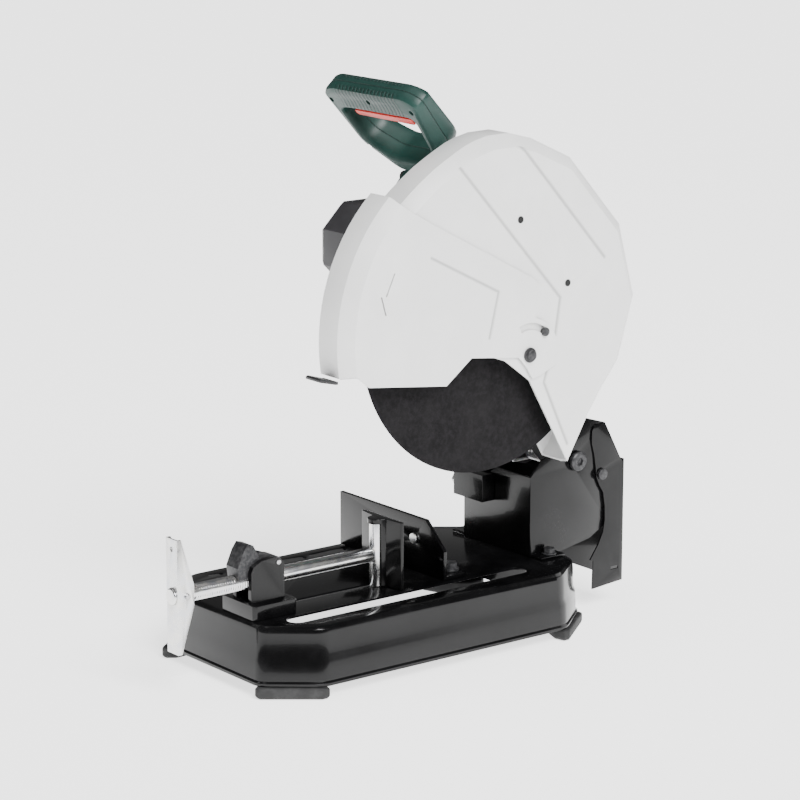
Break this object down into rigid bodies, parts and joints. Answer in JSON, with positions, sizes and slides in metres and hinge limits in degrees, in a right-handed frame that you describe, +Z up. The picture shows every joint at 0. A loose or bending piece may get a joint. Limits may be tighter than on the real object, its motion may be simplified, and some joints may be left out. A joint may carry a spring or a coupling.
{
  "type": "abrasive chop saw",
  "caption": "Bench cut-off saw with a large abrasive wheel on a tilting motor head, D-handle, swinging guard cover, screw vise, mitre fence and pressed steel base.",
  "frame": {"origin": "middle of the overall box in plan, on the floor under the feet", "axes": "+X is the operator's right, from the motor to the wheel; +Y runs from the crank to the rear; +Z is up"},
  "size_m": [0.2886, 0.657, 0.6742],
  "materials": {
    "painted_black": "gloss black paint",
    "zinc_plate": "bright zinc plate",
    "machined_steel": "machined",
    "white_paint": "satin white powder coat",
    "green_plastic": "fine moulded grain",
    "dark_plastic": "moulded grain",
    "cast_arm": "black painted die casting",
    "rubber_black": "matt",
    "red_plastic": "moulded",
    "dark_steel": "black oxide",
    "abrasive": "coarse bonded grit",
    "laminations": "stacked laminations"
  },
  "bodies": {
    "base": {"base_pan": "painted_black", "foot_front_right": "rubber_black", "foot_front_left": "rubber_black", "foot_rear_right": "rubber_black", "foot_rear_left": "rubber_black", "pivot_stand": "painted_black", "flange_bolt_right": "dark_steel", "flange_bolt_left": "dark_steel", "spark_shroud": "painted_black", "shroud_bolt_right": "dark_steel", "shroud_bolt_left": "dark_steel", "pivot_shaft": "dark_steel", "shaft_circlip": "machined_steel", "return_spring": "zinc_plate", "stop_bracket": "painted_black", "stop_bolt": "zinc_plate", "vise_bracket": "painted_black", "lever_pin": "machined_steel", "fence_pivot_bolt": "zinc_plate"},
    "head": {"arm_casting": "cast_arm", "motor_housing": "green_plastic", "motor_end_cover": "dark_plastic", "brush_cap_top": "rubber_black", "brush_cap_bottom": "rubber_black", "stator": "laminations", "fixed_guard": "white_paint", "guard_rivet_1": "rubber_black", "guard_rivet_2": "rubber_black", "cover_pivot_bolt": "dark_steel", "cover_limit_bolt": "dark_steel", "handle_front": "green_plastic", "handle_back": "green_plastic", "handle_mount": "green_plastic", "handle_screw_1": "rubber_black", "handle_screw_2": "rubber_black", "handle_screw_3": "rubber_black", "handle_screw_4": "rubber_black", "cable_gland": "rubber_black"},
    "front_cover": {"front_cover": "white_paint", "cover_lip": "dark_plastic"},
    "wheel_set": {"abrasive_wheel": "abrasive", "spindle": "machined_steel", "spindle_gear": "machined_steel", "inner_flange": "machined_steel", "outer_flange": "machined_steel", "wheel_bolt": "zinc_plate"},
    "armature": {"armature": "machined_steel"},
    "trigger": {"trigger": "red_plastic"},
    "lock_on_button": {"lock_on_button": "red_plastic"},
    "spindle_lock_button": {"spindle_lock_button": "dark_plastic"},
    "jaw_carriage": {"swivel_block": "zinc_plate"},
    "vise_screw": {"vise_screw": "zinc_plate", "crank_bar": "zinc_plate", "crank_pin": "machined_steel"},
    "moving_jaw": {"moving_jaw": "painted_black"},
    "release_lever": {"release_lever": "dark_steel"},
    "fence": {"fence": "painted_black", "fence_face_bolt": "zinc_plate"}
  },
  "joints": [
    {"name": "head_tilt", "type": "hinge", "parent": "base", "child": "head", "pos_m": [0, 0.253, 0.194], "axis": [1, 0, 0], "range_deg": [0, 34.5], "stiffness_Nm_per_rad": 85, "springref_deg": -21.77, "deforming": ["return_spring"]},
    {"name": "front_cover_swing", "type": "hinge", "parent": "head", "child": "front_cover", "pos_m": [0.123, 0.1245, 0.354], "axis": [-1, 0, 0], "range_deg": [0, 60]},
    {"name": "wheel_spin", "type": "hinge", "parent": "head", "child": "wheel_set", "pos_m": [0.0965, 0.076, 0.3938], "axis": [1, 0, 0], "continuous": true},
    {"name": "armature_spin", "type": "hinge", "parent": "head", "child": "armature", "pos_m": [0, 0.0595, 0.46], "axis": [1, 0, 0], "continuous": true},
    {"name": "trigger_press", "type": "slide", "parent": "head", "child": "trigger", "axis": [0, -0.6788, 0.7343], "range_m": [0, 0.003], "stiffness_N_per_m": 450, "springref_m": -0.004},
    {"name": "lock_on_press", "type": "slide", "parent": "head", "child": "lock_on_button", "axis": [0, -0.7343, -0.6788], "range_m": [0, 0.003], "stiffness_N_per_m": 400, "springref_m": -0.002},
    {"name": "spindle_lock_press", "type": "slide", "parent": "head", "child": "spindle_lock_button", "axis": [1, 0, 0], "range_m": [0, 0.003], "stiffness_N_per_m": 500, "springref_m": -0.002},
    {"name": "jaw_slide", "type": "slide", "parent": "base", "child": "jaw_carriage", "axis": [0, 1, 0], "range_m": [-0.1, 0.046]},
    {"name": "screw_spin", "type": "hinge", "parent": "jaw_carriage", "child": "vise_screw", "pos_m": [0.04, -0.3125, 0.122], "axis": [0, 1, 0], "continuous": true},
    {"name": "jaw_swivel", "type": "hinge", "parent": "jaw_carriage", "child": "moving_jaw", "pos_m": [0.04, -0.0385, 0.122], "axis": [0, 0, 1], "range_deg": [-10, 10]},
    {"name": "release_lever_flip", "type": "hinge", "parent": "base", "child": "release_lever", "pos_m": [0.04, -0.1925, 0.143], "axis": [-1, 0, 0], "range_deg": [0, 60]},
    {"name": "fence_mitre", "type": "hinge", "parent": "base", "child": "fence", "pos_m": [0.058, 0.0575, 0.0835], "axis": [0, 0, -1], "range_deg": [0, 30]}
  ],
  "couplings": [
    {"joint": "armature_spin", "follows": "wheel_spin", "ratio": -4.9}
  ]
}
